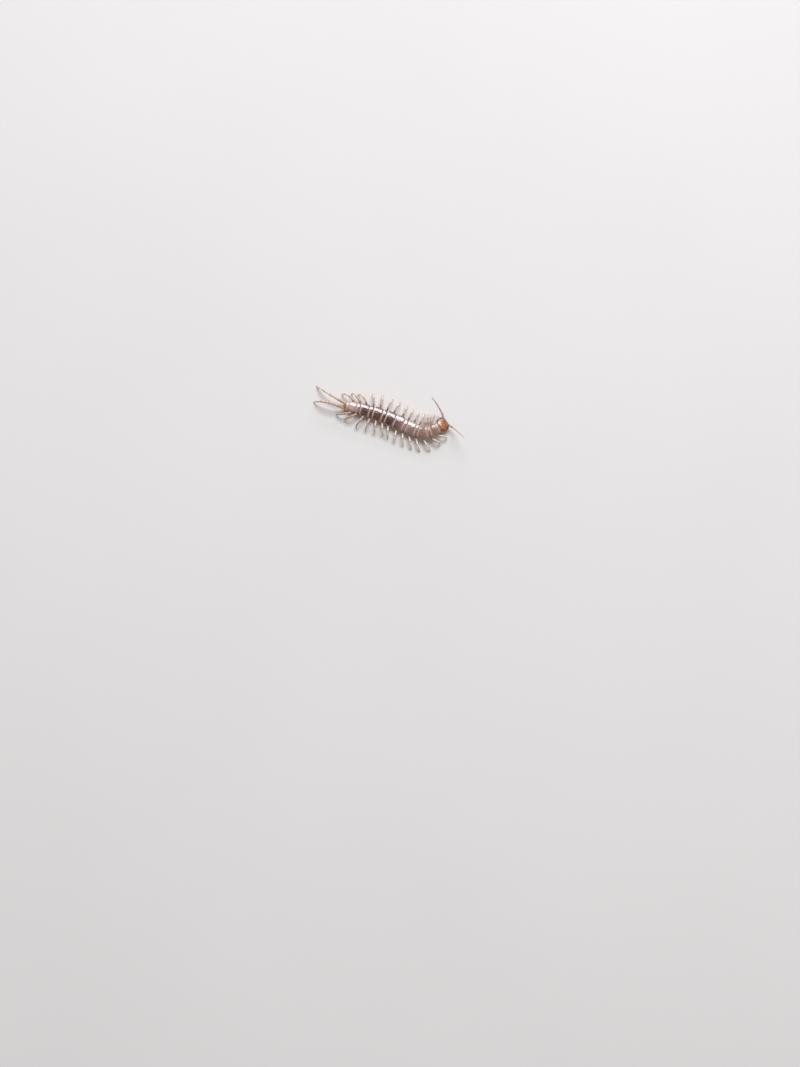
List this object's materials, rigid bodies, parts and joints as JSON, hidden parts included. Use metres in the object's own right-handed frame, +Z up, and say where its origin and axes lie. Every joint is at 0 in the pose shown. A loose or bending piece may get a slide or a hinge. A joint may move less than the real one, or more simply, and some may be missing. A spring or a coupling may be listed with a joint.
{
  "type": "brown stone centipede",
  "caption": "Life-size still model of a brown stone centipede standing on its feet, with a bent body, raised feelers and long trailing last legs",
  "frame": {"origin": "on the floor, under the middle of the whole animal's outline", "axes": "+X runs along the animal from tail to head, +Y is its left side, +Z is up"},
  "size_m": [0.0362, 0.0163, 0.007],
  "materials": {
    "head_brown": "glossy orange-brown shell",
    "trunk_brown": "glossy reddish-brown shell plates",
    "leg_cream": "pale, slightly see-through leg shell",
    "last_leg_tan": "orange-tan leg shell",
    "antenna_pink": "satin pinkish-brown, finely haired",
    "claw_chestnut": "glossy chestnut with dark tips",
    "eye_black": "glossy black groups of small lenses"
  },
  "bodies": {
    "root": {"head": "head_brown", "eye_left": "eye_black", "eye_right": "eye_black", "antenna_left": "antenna_pink", "antenna_right": "antenna_pink", "claw_segment": "trunk_brown", "poison_claw_left": "claw_chestnut", "poison_claw_right": "claw_chestnut", "trunk_segment_01": "trunk_brown", "trunk_segment_02": "trunk_brown", "trunk_segment_03": "trunk_brown", "trunk_segment_04": "trunk_brown", "trunk_segment_05": "trunk_brown", "trunk_segment_06": "trunk_brown", "trunk_segment_07": "trunk_brown", "trunk_segment_08": "trunk_brown", "trunk_segment_09": "trunk_brown", "trunk_segment_10": "trunk_brown", "trunk_segment_11": "trunk_brown", "trunk_segment_12": "trunk_brown", "trunk_segment_13": "trunk_brown", "trunk_segment_14": "trunk_brown", "trunk_segment_15": "trunk_brown", "tail_end": "trunk_brown", "leg_left_01": "leg_cream", "leg_left_02": "leg_cream", "leg_left_03": "leg_cream", "leg_left_04": "leg_cream", "leg_left_05": "leg_cream", "leg_left_06": "leg_cream", "leg_left_07": "leg_cream", "leg_left_08": "leg_cream", "leg_left_09": "leg_cream", "leg_left_10": "leg_cream", "leg_left_11": "leg_cream", "leg_left_12": "leg_cream", "leg_left_13": "leg_cream", "leg_left_14": "leg_cream", "leg_left_15": "last_leg_tan", "leg_right_01": "leg_cream", "leg_right_02": "leg_cream", "leg_right_03": "leg_cream", "leg_right_04": "leg_cream", "leg_right_05": "leg_cream", "leg_right_06": "leg_cream", "leg_right_07": "leg_cream", "leg_right_08": "leg_cream", "leg_right_09": "leg_cream", "leg_right_10": "leg_cream", "leg_right_11": "leg_cream", "leg_right_12": "leg_cream", "leg_right_13": "leg_cream", "leg_right_14": "leg_cream", "leg_right_15": "last_leg_tan"}
  },
  "joints": []
}
